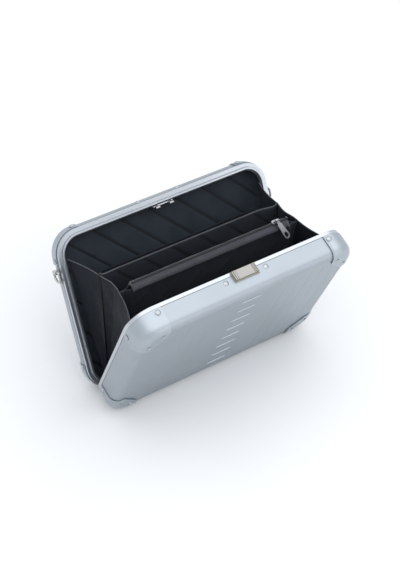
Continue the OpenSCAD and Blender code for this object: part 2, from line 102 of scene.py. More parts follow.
def add_camera():
    azimuth, elevation, roll = (math.radians(a) for a in (38.68, 44.04, 5.91))
    distance_m = 1.3546
    look_at = Vector((0.0112, 0.0101, 0.0735))
    towards = Vector((
        -math.sin(azimuth) * math.cos(elevation),
        -math.cos(azimuth) * math.cos(elevation),
        math.sin(elevation),
    ))
    level = Vector((math.cos(azimuth), -math.sin(azimuth), 0))
    upright = towards.cross(level)
    right = level * math.cos(roll) + upright * math.sin(roll)
    up = upright * math.cos(roll) - level * math.sin(roll)
    data = bpy.data.cameras.new("camera")
    data.lens = 87.3
    data.sensor_width = 36
    data.clip_end = 20
    camera = bpy.data.objects.new("camera", data)
    bpy.context.scene.collection.objects.link(camera)
    camera.matrix_world = Matrix.Translation(look_at + towards * distance_m) @ Matrix(
        (right, up, towards)
    ).transposed().to_4x4()
    bpy.context.scene.camera = camera


def add_area_light(name, place, aim, size, power, colour=(1, 1, 1)):
    data = bpy.data.lights.new(name, "AREA")
    data.shape = "RECTANGLE"
    data.size, data.size_y = size
    data.energy = power
    data.color = colour
    light = bpy.data.objects.new(name, data)
    bpy.context.scene.collection.objects.link(light)
    light.location = place
    light.rotation_euler = (Vector(aim) - Vector(place)).to_track_quat("-Z", "Y").to_euler()


def add_studio():
    world = bpy.data.worlds.new("studio")
    bpy.context.scene.world = world
    world.use_nodes = True
    world.node_tree.nodes["Background"].inputs["Color"].default_value = (0.93, 0.96, 1, 1)
    world.node_tree.nodes["Background"].inputs["Strength"].default_value = 1.0
    add_area_light("overhead", (0.2, -0.3, 1.5), (0.2, -0.3, 0), (3.2, 3.0), 26)
    add_area_light("front", (0.9, -2.4, 0.4), (0, 0, 0.1), (2.8, 1.2), 7)
    bpy.context.scene.view_settings.view_transform = "Standard"

    floor_material, tree, shader = new_material("floor_paper")
    drift = texture(tree, "ShaderNodeTexNoise", Scale=3, Detail=2)
    ramp(tree, drift.outputs["Fac"], shader.inputs["Base Color"], (0.73, 0.735, 0.74), (0.77, 0.775, 0.78))
    shader.inputs["Roughness"].default_value = 0.75
    mesh = bpy.data.meshes.new("floor")
    side = 6
    corners = [(-side, -side, 0), (side, -side, 0), (side, side, 0), (-side, side, 0)]
    mesh.from_pydata(corners, [], [(0, 1, 2, 3)])
    mesh.materials.append(floor_material)
    floor = bpy.data.objects.new("floor", mesh)
    bpy.context.scene.collection.objects.link(floor)


# ---- materials ----


def new_material(name):
    material = bpy.data.materials.new(name)
    material.use_nodes = True
    tree = material.node_tree
    return material, tree, tree.nodes["Principled BSDF"]


def texture(tree, kind, **inputs):
    """A texture node on the object's own coordinates, in metres."""
    node = tree.nodes.new(kind)
    for key, value in inputs.items():
        node.inputs[key].default_value = value
    coordinates = tree.nodes.new("ShaderNodeTexCoord")
    tree.links.new(coordinates.outputs["Object"], node.inputs["Vector"])
    return node


def ramp(tree, value, target, low, high):
    """Turns a 0 to 1 value into a colour between low and high."""
    node = tree.nodes.new("ShaderNodeValToRGB")
    node.color_ramp.elements[0].position = 0.3
    node.color_ramp.elements[0].color = (*low, 1)
    node.color_ramp.elements[1].position = 0.7
    node.color_ramp.elements[1].color = (*high, 1)
    tree.links.new(value, node.inputs["Fac"])
    tree.links.new(node.outputs["Color"], target)


def remap(tree, value, target, low, high):
    node = tree.nodes.new("ShaderNodeMapRange")
    node.inputs["To Min"].default_value = low
    node.inputs["To Max"].default_value = high
    tree.links.new(value, node.inputs["Value"])
    tree.links.new(node.outputs["Result"], target)


def bump(tree, height, strength, depth_mm, normal=None):
    node = tree.nodes.new("ShaderNodeBump")
    node.inputs["Strength"].default_value = strength
    node.inputs["Distance"].default_value = depth_mm * MM
    tree.links.new(height, node.inputs["Height"])
    if normal:
        tree.links.new(normal, node.inputs["Normal"])
    return node.outputs["Normal"]


def metal(name, colour, roughness, grain=2600, edge_mm=0.0):
    """Satin metal: clouded tint, fine blasted grain, and softened edges where edge_mm is given."""
    material, tree, shader = new_material(name)
    shader.inputs["Metallic"].default_value = 1
    clouds = texture(tree, "ShaderNodeTexNoise", Scale=22, Detail=4)
    ramp(
        tree, clouds.outputs["Fac"], shader.inputs["Base Color"],
        [c * 0.965 for c in colour], [min(c * 1.03, 1) for c in colour],
    )
    fine = texture(tree, "ShaderNodeTexNoise", Scale=grain, Detail=2)
    remap(tree, fine.outputs["Fac"], shader.inputs["Roughness"], roughness - 0.05, roughness + 0.05)
    rounded = None
    if edge_mm:
        soft = tree.nodes.new("ShaderNodeBevel")
        soft.samples = 6
        soft.inputs["Radius"].default_value = edge_mm * MM
        rounded = soft.outputs["Normal"]
    tree.links.new(bump(tree, fine.outputs["Fac"], 0.25, 0.02, rounded), shader.inputs["Normal"])
    return material


def fabric(name, colour, threads_per_mm=2.2, spread=0.22, sheen=0.25, gloss=0.35, twill=False):
    """Woven cloth: two crossing thread waves, uneven dye, soft rumples and a little sheen."""
    material, tree, shader = new_material(name)
    shader.inputs["Sheen Weight"].default_value = sheen
    shader.inputs["Sheen Roughness"].default_value = 0.45
    shader.inputs["Specular IOR Level"].default_value = gloss
    waves_per_metre = threads_per_mm * 1000 * math.tau / 20
    warp = texture(tree, "ShaderNodeTexWave", Scale=waves_per_metre, Distortion=0.4)
    weft = texture(tree, "ShaderNodeTexWave", Scale=waves_per_metre, Distortion=0.4)
    warp.bands_direction = "DIAGONAL" if twill else "X"
    weft.bands_direction = "Z"
    weave = tree.nodes.new("ShaderNodeMath")
    weave.operation = "MULTIPLY"
    tree.links.new(warp.outputs["Fac"], weave.inputs[0])
    tree.links.new(weft.outputs["Fac"], weave.inputs[1])
    dye = texture(tree, "ShaderNodeTexNoise", Scale=55, Detail=5)
    blend_in = tree.nodes.new("ShaderNodeMath")
    blend_in.operation = "MULTIPLY_ADD"
    blend_in.inputs[1].default_value = 0.35
    tree.links.new(weave.outputs["Value"], blend_in.inputs[0])
    tree.links.new(dye.outputs["Fac"], blend_in.inputs[2])
    dim = tree.nodes.new("ShaderNodeVectorMath")
    dim.operation = "SCALE"
    ramp(
        tree, blend_in.outputs["Value"], dim.inputs[0],
        [c * (1 - spread) for c in colour], [c * (1 + spread) for c in colour],
    )
    # painted shade: the cloth's colour is scaled down to 0.15 of itself where the crease attribute reaches 1
    crease = tree.nodes.new("ShaderNodeAttribute")
    crease.attribute_name = "crease"
    remap(tree, crease.outputs["Fac"], dim.inputs["Scale"], 1, 0.15)
    tree.links.new(dim.outputs["Vector"], shader.inputs["Base Color"])
    remap(tree, weave.outputs["Value"], shader.inputs["Roughness"], 0.82, 0.68)
    rumple = texture(tree, "ShaderNodeTexNoise", Scale=130, Detail=4)
    rumpled = bump(tree, rumple.outputs["Fac"], 0.35, 0.5)
    tree.links.new(bump(tree, weave.outputs["Value"], 0.5, 0.08, rumpled), shader.inputs["Normal"])
    return material


def moulded(name, colour, roughness):
    material, tree, shader = new_material(name)
    speckle = texture(tree, "ShaderNodeTexNoise", Scale=900, Detail=3)
    ramp(
        tree, speckle.outputs["Fac"], shader.inputs["Base Color"],
        [c * 0.85 for c in colour], [c * 1.15 for c in colour],
    )
    remap(tree, speckle.outputs["Fac"], shader.inputs["Roughness"], roughness - 0.06, roughness + 0.06)
    tree.links.new(bump(tree, speckle.outputs["Fac"], 0.2, 0.03), shader.inputs["Normal"])
    return material


add_camera()

SHELL = metal("satin_shell", (0.385, 0.42, 0.455), 0.42)
FRAME = metal("satin_frame", (0.54, 0.565, 0.60), 0.34, edge_mm=0.25)
GUARD = metal("satin_guard", (0.41, 0.45, 0.485), 0.40)
# a lighter, smoother copy of the shell's metal; the lighter colour is a painted highlight on the bar crests
CREST_HIGHLIGHT = metal("bar_crest_highlight", (0.46, 0.49, 0.52), 0.36)
RIVET = metal("rivet_dome", (0.44, 0.46, 0.48), 0.28, edge_mm=0.1)
HINGE_STEEL = metal("hinge_steel", (0.70, 0.71, 0.73), 0.36, edge_mm=0.12)
LATCH = metal("latch_nickel", (0.36, 0.345, 0.32), 0.42, edge_mm=0.15)
LUG = metal("lug_nickel", (0.50, 0.50, 0.50), 0.25, edge_mm=0.15)
ZIP_METAL = metal("zip_metal", (0.33, 0.33, 0.345), 0.32, edge_mm=0.1)
# dark material for pieces that stand in for shade: the frame-to-shell gap and the dimple crescents are
# painted shadow
PAINTED_SHADOW = moulded("painted_shadow_dark", (0.07, 0.075, 0.085), 0.6)
GASKET = moulded("gasket_rubber", (0.055, 0.06, 0.068), 0.6)
COIL = moulded("coil_nylon", (0.022, 0.023, 0.027), 0.42)
LINING = fabric("lining_cloth", (0.015, 0.022, 0.031), sheen=0.15)
PANEL = fabric("panel_cloth", (0.013, 0.016, 0.023), sheen=0.08, gloss=0.25)
# the lining's cloth darkened to about half its colour: painted shade on the bellows sides
GUSSET_SHADED = fabric("gusset_cloth_shaded", (0.0085, 0.0105, 0.015), sheen=0.04, gloss=0.14)
PIPING = fabric("piping_cloth", (0.042, 0.046, 0.053), threads_per_mm=3)
TAPE = fabric("zip_tape", (0.045, 0.048, 0.056), threads_per_mm=1.6, twill=True)
THREAD = fabric("thread", (0.035, 0.04, 0.05), threads_per_mm=5)

CAD_FINISH = {
    "shell": SHELL, "frame": FRAME, "gasket": GASKET, "rivets": RIVET, "leaf": HINGE_STEEL,
    "pin": HINGE_STEEL, "plate": HINGE_STEEL, "lug": LUG, "ring": LUG, "base": LATCH,
    "bar": HINGE_STEEL, "stops": COIL,
}


def finish_cad_nodes():
    """Gives each carried-over CAD node the material whose word is in its name."""
    for name, node in frame["nodes"].items():
        words = name.split("_")
        found = CAD_FINISH["rivets"] if "rivets" in words else None
        for word, material in CAD_FINISH.items():
            if word in words and not found:
                found = material
        if found:
            node.data.materials.clear()
            node.data.materials.append(found)


add_studio()
finish_cad_nodes()

# ---- making meshes ----


def make(name, points, faces, material, smooth=True):
    """A mesh object from points already in the frame, in metres."""
    mesh = bpy.data.meshes.new(name)
    mesh.from_pydata([tuple(p) for p in points], [], faces)
    if smooth:
        mesh.shade_smooth()
    mesh.materials.append(material)
    piece = bpy.data.objects.new(name, mesh)
    bpy.context.scene.collection.objects.link(piece)
    return piece


def grid_faces(rows, columns, closed=False):
    """Quads of a grid of rows by columns points; closed joins the last column to the first."""
    wide = columns if closed else columns - 1
    return [
        (
            r * columns + c, r * columns + (c + 1) % columns,
            (r + 1) * columns + (c + 1) % columns, (r + 1) * columns + c,
        )
        for r in range(rows - 1)
        for c in range(wide)
    ]


def surface(name, rows, columns, point, material, closed=False):
    """A sheet whose point(s, t) runs over s and t from 0 to 1."""
    across = columns if closed else columns - 1
    points = [point(r / (rows - 1), c / across) for r in range(rows) for c in range(columns)]
    return make(name, points, grid_faces(rows, columns, closed), material)


def thicken(piece, thickness, side=0.0):
    """Gives a sheet its cloth's thickness, in millimetres."""
    solid = piece.modifiers.new("thickness", "SOLIDIFY")
    solid.thickness = thickness * MM
    solid.offset = side
    return piece


def shade(piece, creases):
    """Stores how deep in a crease each point lies, from 0 to 1; the cloth's colour is darkened there as
    painted shade.
    """
    layer = piece.data.attributes.new("crease", "FLOAT", "POINT")
    layer.data.foreach_set("value", creases)


def bevel(piece, width, segments=2, degrees=35):
    soft = piece.modifiers.new("bevel", "BEVEL")
    soft.width = width * MM
    soft.segments = segments
    soft.limit_method = "ANGLE"
    soft.angle_limit = math.radians(degrees)
    soft.harden_normals = True
    return piece


def prism(name, outline, start, end, place, material, smooth=True):
    """A solid whose outline of (a, b) points is drawn out from start to end: place(a, b, c)."""
    count = len(outline)
    points = [place(a, b, c) for c in (start, end) for a, b in outline]
    faces = [(i, (i + 1) % count, count + (i + 1) % count, count + i) for i in range(count)]
    faces += [tuple(range(count)), tuple(range(2 * count - 1, count - 1, -1))]
    piece = make(name, points, faces, material, smooth)
    face_outward(piece)
    return piece


def face_outward(piece):
    shape = bmesh.new()
    shape.from_mesh(piece.data)
    bmesh.ops.recalc_face_normals(shape, faces=shape.faces)
    shape.to_mesh(piece.data)
    shape.free()


def tube(name, path, radius, material, sides=10, place=None):
    """A round tube along a path of points, with closed ends; radius is a number or a function of 0 to 1."""
    path = [Vector(p) for p in path]
    points, last = [], None
    for i, p in enumerate(path):
        ahead = path[min(i + 1, len(path) - 1)] - path[max(i - 1, 0)]
        ahead.normalize()
        if last is None:
            last = ahead.orthogonal().normalized()
        last = (last - ahead * last.dot(ahead)).normalized()
        other = ahead.cross(last)
        r = radius(i / (len(path) - 1)) if callable(radius) else radius
        for k in range(sides):
            turn = math.tau * k / sides
            q = p + (last * math.cos(turn) + other * math.sin(turn)) * r
            points.append(place(*q) if place else q)
    faces = grid_faces(len(path), sides, closed=True)
    faces += [tuple(range(sides - 1, -1, -1)), tuple(range((len(path) - 1) * sides, len(path) * sides))]
    piece = make(name, points, faces, material)
    face_outward(piece)
    return piece


def join(name, pieces):
    """One piece from several that share a body and a material."""
    first = pieces[0]
    with bpy.context.temp_override(active_object=first, selected_editable_objects=pieces):
        bpy.ops.object.join()
    first.name = name
    return first


def gauss(distance, width):
    return math.exp(-((distance / width) ** 2))


def smoothstep(t):
    t = min(max(t, 0), 1)
    return t * t * (3 - 2 * t)


def rumple(p, size, height):
    """A gentle seeded unevenness, in millimetres, at a point in millimetres."""
    return noise.noise(Vector(p) / size) * height


# ---- corner guards ----

GUARD_T = 1.4
GUARD_REACH, GUARD_END = 29, 13
GUARD_START = 4.2
DIMPLES = [(11, 23), (23, 11)]
DIMPLE_R, DIMPLE_DEPTH = 2.4, 1.1
LIP_RISE, LIP_WIDTH = 0.35, 1.3


def guard_columns():
    """Columns round the corner: (foot point on the outer wall line, direction inward, flap length)."""
    columns = []
    straight = GUARD_REACH - CORNER_R
    for k in range(7):
        x = GUARD_REACH - straight * k / 7
        columns.append(((x, 0), (0, 1), GUARD_REACH + GUARD_END - x - FOLD_R))
    arc_steps = 72
    for k in range(arc_steps + 1):
        turn = math.radians(90) * k / arc_steps
        outward = (-math.sin(turn), -math.cos(turn))
        foot = (CORNER_R * (1 + outward[0]), CORNER_R * (1 + outward[1]))
        to_cut = (2 * CORNER_R - GUARD_REACH - GUARD_END) / -(outward[0] + outward[1])
        columns.append((foot, (-outward[0], -outward[1]), CORNER_R - to_cut - FOLD_R))
    for k in range(1, 8):
        y = CORNER_R + straight * k / 7
        columns.append(((0, y), (1, 0), GUARD_REACH + GUARD_END - y - FOLD_R))
    return columns


def guard_rows(depth):
    """Rows up the wall, round the fold and over the face: (distance inward, depth, share of the flap)."""
    rows = []
    for k in range(9):
        share = k / 8
        rows.append((0, GUARD_START + share * (depth - FOLD_R - GUARD_START), 0))
    for k in range(1, 9):
        turn = math.radians(90) * k / 8
        rows.append((FOLD_R * (1 - math.cos(turn)), depth - FOLD_R + FOLD_R * math.sin(turn), 0))
    flap_rows = 34
    for k in range(1, flap_rows + 1):
        rows.append((FOLD_R, depth, k / flap_rows))
    return rows


def guard_normal(row, rows_in_wall, direction):
    """Outward direction of the guard's skin at a row, for a column that runs inward along direction."""
    turn = math.radians(90) * min(max(row - rows_in_wall, 0) / 8, 1)
    return (-direction[0] * math.cos(turn), -direction[1] * math.cos(turn), math.sin(turn))


def add_guard(name, place, body, left, top, depth):
    """A pressed corner guard with a raised lip along its free edges and two dimples on its face."""
    columns, rows = guard_columns(), guard_rows(depth)
    skins = []
    for skin in (0, 1):
        for r, (inward, w, share) in enumerate(rows):
            for c, (foot, direction, flap) in enumerate(columns):
                run = inward + share * flap
                x, y = foot[0] + direction[0] * run, foot[1] + direction[1] * run
                nx, ny, nw = guard_normal(r, 8, direction)
                to_side = min(c, len(columns) - 1 - c) * 0.71
                to_end = (1 - share) * flap if share else 99
                rise = LIP_RISE * (1 - smoothstep((min(to_side, to_end) - LIP_WIDTH * 0.5) / LIP_WIDTH))
                out = 0.25 if skin else GUARD_T - LIP_RISE + rise
                if share:
                    for dx, dy in DIMPLES:
                        reach = math.hypot(x - dx, y - dy)
                        lip = smoothstep((reach - DIMPLE_R + 0.5) / 0.5)
                        out -= DIMPLE_DEPTH * (1 - lip) * (0 if skin else 1)
                x, y, w_out = x + nx * out, y + ny * out, w + nw * out
                u = (-CASE_W / 2 + x) if left else (CASE_W / 2 - x)
                v = CASE_H - y if top else y
                skins.append(place(u, v, w_out))
    n_rows, n_columns = len(rows), len(columns)
    count = n_rows * n_columns
    faces = grid_faces(n_rows, n_columns)
    faces += [tuple(count + i for i in reversed(face)) for face in grid_faces(n_rows, n_columns)]
    rim = [c for c in range(n_columns)]
    rim += [r * n_columns + n_columns - 1 for r in range(1, n_rows)]
    rim += [(n_rows - 1) * n_columns + c for c in range(n_columns - 2, -1, -1)]
    rim += [r * n_columns for r in range(n_rows - 2, 0, -1)]
    faces += [(rim[i - 1], rim[i], count + rim[i], count + rim[i - 1]) for i in range(len(rim))]
    piece = make(name, skins, faces, GUARD)
    face_outward(piece)
    bevel(piece, 0.35, 3, 50)
    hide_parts(name.replace("pressed_", "guard_"))
    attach(piece, body)


def add_dimple_shadows(name, place, body, left, top, depth):
    """Dark half-moon tubes at the rim of each dimple, on the side towards the corner: a painted shadow of
    each dimple's edge.
    """
    shadow_crescents = []
    for dx, dy in DIMPLES:
        path = []
        for k in range(13):
            turn = math.radians(225 - 65 + 130 * k / 12)
            x, y = dx + DIMPLE_R * math.cos(turn), dy + DIMPLE_R * math.sin(turn)
            path.append((
                (-CASE_W / 2 + x) if left else (CASE_W / 2 - x), CASE_H - y if top else y,
                depth + GUARD_T - LIP_RISE - 0.08,
            ))
        shadow_crescents.append(
            # painted shadow: a thin dark crescent tube on the dimple's rim
            tube(f"{name}_{dx}", path, lambda s: 0.08 + 0.22 * math.sin(math.pi * s), PAINTED_SHADOW, 6, place)
        )
    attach(join(name, shadow_crescents), body)


for shell, place, depth in (("back", back, BACK_D), ("front", front, FRONT_D)):
    for height in ("top", "bottom"):
        for hand in ("left", "right"):
            where = (place, shell, hand == "left", height == "top", depth)
            add_guard(f"pressed_{shell}_{height}_{hand}", *where)
            add_dimple_shadows(f"lances_{shell}_{height}_{hand}", *where)

# ---- smoother pressed bars down the middle of each face, their crests lighter as a painted highlight ----

BAR_COUNT, BAR_PITCH, BAR_HALF = 8, 17.9, 11.6


def add_bars(name, place, body, depth):
    """Eight short pressed bars; their crests get a lighter metal colour than the face round them, a painted
    highlight.
    """
    crests = []
    for k in range(BAR_COUNT):
        v = CASE_H / 2 + 3 + (k - (BAR_COUNT - 1) / 2) * BAR_PITCH
        path = [(-BAR_HALF + 2 * BAR_HALF * j / 8, v, depth + 0.1) for j in range(9)]
        crests.append(tube(f"{name}_{k}", path, lambda s: 0.66 if 0.05 < s < 0.95 else 0.3, CREST_HIGHLIGHT, 14, place))
    crest = join(name, crests)
    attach(crest, body)


add_bars("bars_back", back, "back", BACK_D)
add_bars("bars_front", front, "front", FRONT_D)

# ---- latch ----

LATCH_HALF, LATCH_BASE, LATCH_TOP = 12.8, 1.05, 3.2
LATCH_W0, LATCH_W1 = 0.9, 10.4
RIDGES_LEFT = [(-12.8, -11.7), (-11.1, -9.5)]
RIDGES_RIGHT = [(8.9, 9.9), (10.35, 11.35), (11.8, 12.8)]
PLATE = (-9.0, 8.5)
GROOVE, RECESS = 0.8, 0.35


def latch_outline():
    """The block's section along the hinge: ridges at both ends and a sunken plate between."""
    outline = [(-LATCH_HALF, LATCH_BASE)]
    lands = [*RIDGES_LEFT, PLATE, *RIDGES_RIGHT]
    for k, (start, end) in enumerate(lands):
        top = LATCH_TOP - (RECESS if (start, end) == PLATE else 0)
        outline += [(start, top), (end, top)]
        if k < len(lands) - 1:
            outline += [(end, LATCH_TOP - GROOVE), (lands[k + 1][0], LATCH_TOP - GROOVE)]
    return outline + [(LATCH_HALF, LATCH_BASE)]


def add_latch():
    block = prism(
        "latch_block", latch_outline(), LATCH_W0, LATCH_W1,
        lambda u, h, w: front(u, CASE_H + h, w), LATCH,
    )
    stem = prism(
        "latch_stem", [(-3, -7.4), (3, -7.4), (3, 1.2), (-3, 1.2)], 4.6, 7,
        lambda u, h, w: front(u, CASE_H + h, w), LATCH,
    )
    bevel(block, 0.16, 3)
    bevel(stem, 0.15, 2)
    for piece in (block, stem):
        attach(piece, "latch")
    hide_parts("latch_slider")


add_latch()

# ---- linings ----

LINING_IN = 4.4
CHANNEL_STEP = 31.7
CHANNEL_FIRST = 45
PUFF = 1.3


def off_channel(along):
    """Distance from the nearest stitched channel, for along = u + v or v - u."""
    step = (along - CHANNEL_FIRST) / CHANNEL_STEP
    return abs(step - round(step)) * CHANNEL_STEP / math.sqrt(2)


def rounded_loop(half_u, half_v, radius, long_steps, short_steps, arc_steps):
    """Points round a rectangle with rounded corners, from the right side up and round."""
    loop = []
    for k in range(4):
        corner_u = (half_u - radius) * (1 if k in (0, 3) else -1)
        corner_v = (half_v - radius) * (1 if k < 2 else -1)
        for j in range(arc_steps):
            turn = math.radians(90) * (k + j / arc_steps)
            loop.append((corner_u + radius * math.cos(turn), corner_v + radius * math.sin(turn)))
        steps = long_steps if k % 2 == 0 else short_steps
        end_u = corner_u + radius * math.cos(math.radians(90 * (k + 1)))
        end_v = corner_v + radius * math.sin(math.radians(90 * (k + 1)))
        run = 2 * (half_u - radius) if k % 2 == 0 else 2 * (half_v - radius)
        for j in range(steps):
            moved = run * j / steps
            loop.append((
                end_u - (moved if k == 0 else -moved if k == 2 else 0),
                end_v - (moved if k == 1 else -moved if k == 3 else 0),
            ))
    return loop


def add_lining(name, place, body, depth, node):
    """Quilted lining: up the walls, round the fold and over the face, stitched down in slanted channels."""
    fold = FOLD_R - LINING_IN
    rows = [(LINING_IN, 3.3 + k / 5 * (depth - LINING_IN - fold - 3.3), 0) for k in range(5)]
    for k in range(7):
        turn = math.radians(90) * k / 6
        inward = LINING_IN + fold * (1 - math.cos(turn))
        rows.append((inward, depth - LINING_IN - fold + fold * math.sin(turn), k / 6))
    face_step = 1.4
    face_rows = int((CASE_H / 2 - FOLD_R) / face_step)
    rows += [
        (FOLD_R + (k + 1) * (CASE_H / 2 - FOLD_R - 0.05) / face_rows, depth - LINING_IN, 1)
        for k in range(face_rows)
    ]
    points, creases = [], []
    for inward, w, faced in rows:
        corner = max(CORNER_R - inward, 0.04)
        loop = rounded_loop(CASE_W / 2 - inward, CASE_H / 2 - inward, corner, 130, 80, 16)
        for x, y in loop:
            u, v = x, y + CASE_H / 2
            puffed = PUFF * (1 - gauss(off_channel(u + v), 1.4)) + rumple((u, v, w), 26, 0.5)
            points.append(place(u, v, w - faced * puffed))
            # painted shade: the stitched channels get a darker cloth colour through the crease attribute
            creases.append(faced * gauss(off_channel(u + v), 1.1))
    columns = 2 * (130 + 80) + 4 * 16
    piece = make(name, points, grid_faces(len(rows), columns, closed=True), LINING)
    shade(piece, creases)
    merge(piece, 0.2)
    thicken(piece, 0.6)
    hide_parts(node)
    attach(piece, body)


def merge(piece, distance):
    shape = bmesh.new()
    shape.from_mesh(piece.data)
    bmesh.ops.remove_doubles(shape, verts=shape.verts, dist=distance * MM)
    bmesh.ops.recalc_face_normals(shape, faces=shape.faces)
    shape.to_mesh(piece.data)
    shape.free()


add_lining("quilted_back_lining", back, "back", BACK_D, "back_lining")
add_lining("quilted_front_lining", front, "front", FRONT_D, "front_lining")

# ---- painted shadow line between each frame and its shell ----

SEAM_W, SEAM_R = 3.9, 0.3


def add_seam(name, place, body):
    """A fine dark tube where the frame's band meets the shell's wall, all the way round: a painted shadow of
    the gap there.
    """
    loop = rounded_loop(CASE_W / 2 - 0.1, CASE_H / 2 - 0.1, CORNER_R, 3, 3, 24)
    sides = 6
    points = []
    for k in range(len(loop) + 1):
        x, y = loop[k % len(loop)]
        ahead = Vector(loop[(k + 1) % len(loop)]) - Vector(loop[(k - 1) % len(loop)])
        ahead.normalize()
        for j in range(sides):
            turn = math.tau * j / sides
            out = SEAM_R * math.cos(turn)
            w = SEAM_W + SEAM_R * math.sin(turn)
            points.append(place(x + ahead.y * out, y + CASE_H / 2 - ahead.x * out, w))
    bead = make(name, points, grid_faces(len(loop) + 1, sides, closed=True), PAINTED_SHADOW)
    face_outward(bead)
    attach(bead, body)


add_seam("seam_shadow_back", back, "back")
add_seam("seam_shadow_front", front, "front")

# ---- bellows panels and floor ----

HALF = 99.5
PANEL_FOOT, PANEL_TOP = 12, 109


def add_lining_panel(name, place, body, depth, node):
    """The bellows' own end wall, sewn flat on the lining, with a bound top edge."""
    w = depth - 6.2

    def point(s, t):
        u, v = -HALF + 2 * HALF * t, PANEL_FOOT + (PANEL_TOP - PANEL_FOOT) * s
        lift = 0.5 * math.sin(math.pi * s) + rumple((u, v, 5), 30, 0.5)
        return place(u, v, w - lift - 0.3 * gauss(PANEL_TOP - v, 2))

    panel = surface(name, 56, 100, point, PANEL)
    thicken(panel, 0.7)
    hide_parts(node)
    edge = tube(
        name + "_binding", [(-HALF + 2 * HALF * k / 60, PANEL_TOP, w - 0.7) for k in range(61)],
        0.8, PANEL, 8, place,
    )
    for piece in (panel, edge):
        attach(piece, body)


add_lining_panel("back_wall_cloth", back, "back", BACK_D, "bellows_back_panel")
add_lining_panel("front_wall_cloth", front, "front", FRONT_D, "bellows_front_panel")


def add_bellows_floor():
    """The cloth that closes the bellows along the hinge, from one end wall's foot to the other's."""
    start, end = back(0, PANEL_FOOT, 8), front(0, PANEL_FOOT, 12)
    low = HINGE + Vector((0, 0, 8.5)) * MM

    def point(s, t):
        mid = start.lerp(low, s).lerp(low.lerp(end, s), s)
        return mid + Vector((-HALF + 2 * HALF * t, 0, 0.3 * math.sin(t * 60))) * MM

    cloth = surface("bellows_floor_cloth", 24, 90, point, PANEL)
    thicken(cloth, 0.6)
    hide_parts("bellows_floor")
    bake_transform(cloth)
    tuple(start)
    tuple(end)


add_bellows_floor()

# ---- bellows sides ----

FAN_START = 11
RIM_X, FOOT_X, END_X = 111.5, 104, 101.5
RIM_TOP, DIVIDER_EAR_TOP = 137, 131
POCKET_EAR_TOP = {-1: 136, 1: 131.5}


def side_point(side, angle, x, z):
    return fan(angle)(side * x, 0, z)


def side_surface(side, a0, a1, x0, x1, top0, top1, depth):
    """point(s, t) of one pleat: s from foot to top, t from angle a0 to a1; its top edge runs taut."""
    half = (a1 - a0) / 2

    def point(s, t):
        top = (top0 + (top1 - top0) * t) * math.cos(half) / math.cos(half * (2 * t - 1))
        z = FAN_START + (top - FAN_START) * s
        hollow = math.sin(math.pi * t)
        foot = FOOT_X if max(x0, x1) == RIM_X else END_X
        outer = foot + (x0 + (x1 - x0) * t - foot) * s
        slack = 1 - 0.75 * s
        x = outer - depth * slack * hollow * smoothstep(s * 5)
        x += rumple((z, t * 30, side * 9), 17, 1.4) * hollow
        x += 0.7 * gauss(z - (top0 - 52 * (1 - t) - 4), 2.2) * hollow
        z -= 0.3 * s * s * hollow
        return side_point(side, a0 + (a1 - a0) * t, x, z)

    return point


PLEATS = [
    ("rear", LEAN_BACK, DIVIDER_ANGLE, RIM_X, END_X, RIM_TOP, DIVIDER_EAR_TOP, 6, "back", "divider", 34),
    ("middle", DIVIDER_ANGLE, POCKET_ANGLE, END_X, END_X, DIVIDER_EAR_TOP, None, 5, "divider", "pocket", 20),
    ("fore", POCKET_ANGLE, -LEAN_FRONT, END_X, RIM_X, None, RIM_TOP, 5, "back", "front", 30),
]


PLEAT_REACH = 96
SEWN_AT = 0.594  # where a blend, easing in and out, has turned by the pocket's share


def pleat_span(side, name, a0, a1, x0, x1):
    """Where the pleat's turning starts and ends: a point on each of its two edges at PLEAT_REACH.

    The fore pleat turns from back to front. Its pocket edge is part of the way along, and
    lags behind the pocket further out than PLEAT_REACH.
    """
    start, end = side_point(side, a0, x0, PLEAT_REACH), side_point(side, a1, x1, PLEAT_REACH)
    if name != "fore":
        return start, end
    return end + (start - end) / (1 - SEWN_AT), end


def add_bellows_side(hand, side):
    rows = 64
    for name, a0, a1, x0, x1, top0, top1, depth, first, second, columns in PLEATS:
        top0, top1 = top0 or POCKET_EAR_TOP[side], top1 or POCKET_EAR_TOP[side]
        point = side_surface(side, a0, a1, x0, x1, top0, top1, depth)
        cloth = surface(f"gusset_{hand}_{name}", rows, columns, point, GUSSET_SHADED)
        edges = [c / (columns - 1) for c in range(columns)]
        valley = 0.7 if name == "middle" else 0
        # painted shade: the cloth is darkened along the pleat edges and down the middle pleat's valley,
        # through the crease attribute
        seams = [max(gauss(t - 1, 0.09), 0.5 * gauss(t, 0.05), valley * gauss(t - 0.65, 0.09)) for t in edges]
        shade(cloth, seams * rows)
        thicken(cloth, 0.6)
        hem = tube(f"gusset_{hand}_{name}_hem", [point(1, k / 30) for k in range(31)], 0.5 * MM, PIPING, 8)
        start, end = pleat_span(side, name, a0, a1, x0, x1)
        for piece in (cloth, hem):
            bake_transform(piece)
            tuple(start)
            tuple(end)
    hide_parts("gusset_" + hand)


add_bellows_side("left", -1)
add_bellows_side("right", 1)

# ---- divider ----

DIVIDER_Y = (1.8, 3.4)
DIVIDER_TOP = 131
EAR = 3.5


def divider_top(x):
    """The divider's top edge droops at its ends, where the bellows pulls it down, and ends in a small ear."""
    ear = 2.4 * smoothstep((abs(x) - HALF + 0.8) / 3)
    return DIVIDER_TOP - (0.4 if x < 0 else 2.4) * smoothstep((abs(x) - 78) / 20) + ear


